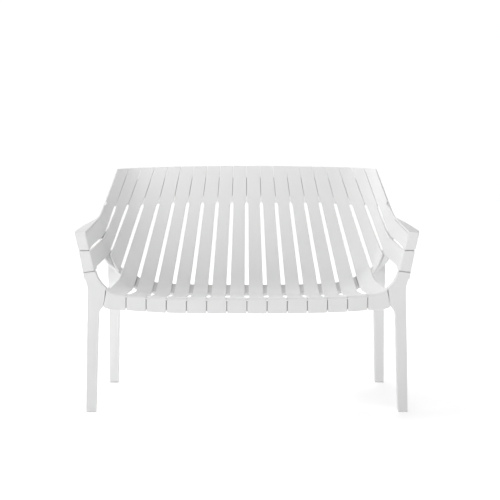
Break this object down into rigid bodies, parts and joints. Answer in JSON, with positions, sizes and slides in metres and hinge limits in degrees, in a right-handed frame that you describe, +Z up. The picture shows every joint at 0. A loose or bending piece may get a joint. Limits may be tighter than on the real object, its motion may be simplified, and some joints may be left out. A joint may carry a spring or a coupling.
{
  "type": "garden bench",
  "caption": "Two-seat garden bench with a tub of bent slats for back, seat and arms on four tapered legs.",
  "frame": {"origin": "centre of the bench's footprint box, on the floor under the feet", "axes": "+X to the sitter's left seen from the front as right, along the bench; +Y towards the back; +Z up"},
  "size_m": [1.2184, 0.6454, 0.853],
  "materials": {
    "stave": "white, fine moulded grain, satin",
    "leg": "white, fine moulded grain, satin",
    "rail": "pale grey, fine moulded grain, satin",
    "glide": "pale grey, matt",
    "screw": "satin stainless"
  },
  "bodies": {
    "root": {"arm_slat_upper_left": "stave", "arm_slat_lower_left": "stave", "corner_stave_left": "stave", "seat_stave_1": "stave", "seat_stave_2": "stave", "seat_stave_3": "stave", "seat_stave_4": "stave", "seat_stave_5": "stave", "seat_stave_6": "stave", "seat_stave_7": "stave", "seat_stave_8": "stave", "seat_stave_9": "stave", "seat_stave_10": "stave", "seat_stave_11": "stave", "seat_stave_12": "stave", "seat_stave_13": "stave", "seat_stave_14": "stave", "corner_stave_right": "stave", "arm_slat_lower_right": "stave", "arm_slat_upper_right": "stave", "front_leg_left": "leg", "front_leg_right": "leg", "rear_leg_left": "leg", "rear_leg_right": "leg", "back_rail": "rail", "rear_seat_rail": "rail", "front_seat_rail": "rail", "side_rail_left": "rail", "side_rail_right": "rail", "foot_glide_front_left": "glide", "foot_glide_front_right": "glide", "foot_glide_rear_left": "glide", "foot_glide_rear_right": "glide", "screws_back_rail": "screw", "screws_rear_seat_rail": "screw", "screws_front_seat_rail": "screw"}
  },
  "joints": []
}
